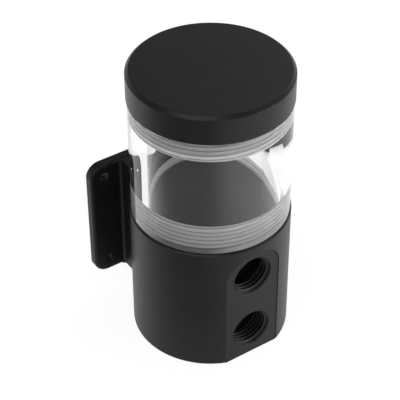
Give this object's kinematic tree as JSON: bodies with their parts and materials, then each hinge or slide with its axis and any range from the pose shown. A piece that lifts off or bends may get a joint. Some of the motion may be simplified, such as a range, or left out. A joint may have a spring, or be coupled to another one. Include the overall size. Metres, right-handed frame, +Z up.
{
  "type": "coolant pump reservoir",
  "caption": "Round coolant pump with a clear screw-capped tank on top, two threaded ports on a milled flat and a rear mounting bracket.",
  "frame": {"origin": "axis of the round body on its resting face", "axes": "+Z up along the tank, ports face -Y, the bracket's mounting face looks to +Y"},
  "size_m": [0.055, 0.0535, 0.0959],
  "materials": {
    "housing": "satin moulded",
    "bracket": "satin machined",
    "cap": "fine turned satin",
    "acrylic": "clear polished acrylic",
    "baffle": "satin",
    "seal": "moulded",
    "impeller": "moulded",
    "bush": "sintered carbon",
    "magnet": "plastic-bonded ferrite",
    "shaft": "ground",
    "washer": "moulded",
    "clip": "stamped",
    "can": "moulded",
    "core": "laminated",
    "coils": "enamelled wire",
    "sleeve": "moulded",
    "board": "solder mask",
    "components": "moulded",
    "cover": "satin moulded",
    "screws": "zinc plated",
    "grommet": "moulded"
  },
  "bodies": {
    "pump_body": {"body_housing": "housing", "mounting_bracket": "bracket", "bracket_screws": "screws", "reservoir_tube": "acrylic", "tube_seal": "seal", "baffle_plate": "baffle", "pump_shaft": "shaft", "lower_thrust_washer": "washer", "upper_thrust_washer": "washer", "shaft_clip": "clip", "separation_can": "can", "can_seal": "seal", "stator_core": "core", "stator_coils": "coils", "motor_sleeve": "sleeve", "driver_board": "board", "board_components": "components", "bottom_cover": "cover", "cover_screws": "screws", "cable_grommet": "grommet"},
    "cap_lift": {"cap_seal": "seal"},
    "cap": {"screw_cap": "cap"},
    "rotor": {"impeller": "impeller", "bearing_bush": "bush", "rotor_magnet": "magnet"}
  },
  "joints": [
    {"name": "cap_rise", "type": "slide", "parent": "pump_body", "child": "cap_lift", "axis": [0, 0, 1], "range_m": [0, 0.006]},
    {"name": "cap_turn", "type": "hinge", "parent": "cap_lift", "child": "cap", "pos_m": [0, 0, 0.09], "axis": [0, 0, 1], "range_deg": [0, 1440]},
    {"name": "rotor_spin", "type": "hinge", "parent": "pump_body", "child": "rotor", "pos_m": [0, 0.0062, 0.02], "axis": [0, 0, 1], "continuous": true}
  ],
  "couplings": [
    {"joint": "cap_rise", "follows": "cap_turn", "m_per_rad": 0.00023873}
  ]
}
